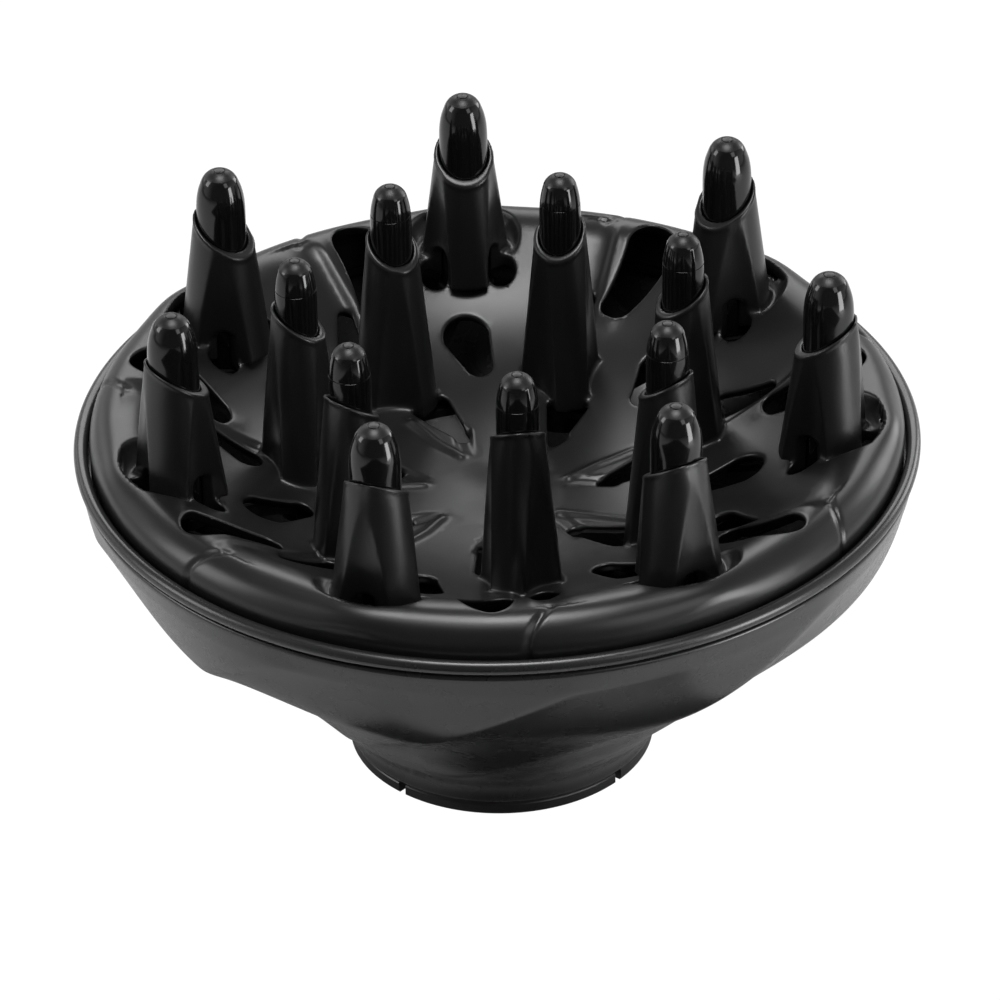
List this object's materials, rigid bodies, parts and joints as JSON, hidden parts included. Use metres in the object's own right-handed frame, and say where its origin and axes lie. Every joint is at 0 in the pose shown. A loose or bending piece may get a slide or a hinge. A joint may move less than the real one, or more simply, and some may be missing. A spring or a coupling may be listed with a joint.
{
  "type": "hair dryer diffuser",
  "caption": "Round hair dryer diffuser: faceted bowl on a short neck with a dished front carrying two rings of combing fingers that draw in when the dish is turned.",
  "frame": {"origin": "centre of the neck's flat bottom face", "axes": "+Z along the neck's axis, out of the dish towards the hair; +Y towards the back of the picture's view; +X to its right"},
  "size_m": [0.15, 0.15, 0.0996],
  "materials": {
    "bowl_shell": "satin moulded black plastic",
    "dish_face": "matte moulded black plastic",
    "gloss_black": "polished black plastic",
    "inner_drive": "plain moulded plastic inside the bowl"
  },
  "bodies": {
    "bowl": {"outer_bowl": "bowl_shell", "clip_ring": "gloss_black", "cam_collar": "inner_drive"},
    "dish": {"front_dish": "dish_face"},
    "prongs": {"prong_carrier": "gloss_black", "cam_pins": "inner_drive", "outer_prong_1": "gloss_black", "outer_prong_2": "gloss_black", "outer_prong_3": "gloss_black", "outer_prong_4": "gloss_black", "outer_prong_5": "gloss_black", "outer_prong_6": "gloss_black", "outer_prong_7": "gloss_black", "inner_prong_1": "gloss_black", "inner_prong_2": "gloss_black", "inner_prong_3": "gloss_black", "inner_prong_4": "gloss_black", "inner_prong_5": "gloss_black", "inner_prong_6": "gloss_black", "inner_prong_7": "gloss_black"}
  },
  "joints": [
    {"name": "dish_turn", "type": "hinge", "parent": "bowl", "child": "dish", "pos_m": [0, 0, 0.0604], "axis": [0, 0, 1], "range_deg": [0, 45]},
    {"name": "prong_draw", "type": "slide", "parent": "dish", "child": "prongs", "axis": [0, 0, 1], "range_m": [-0.009, 0]}
  ],
  "couplings": [
    {"joint": "prong_draw", "follows": "dish_turn", "m_per_rad": -0.011459}
  ]
}
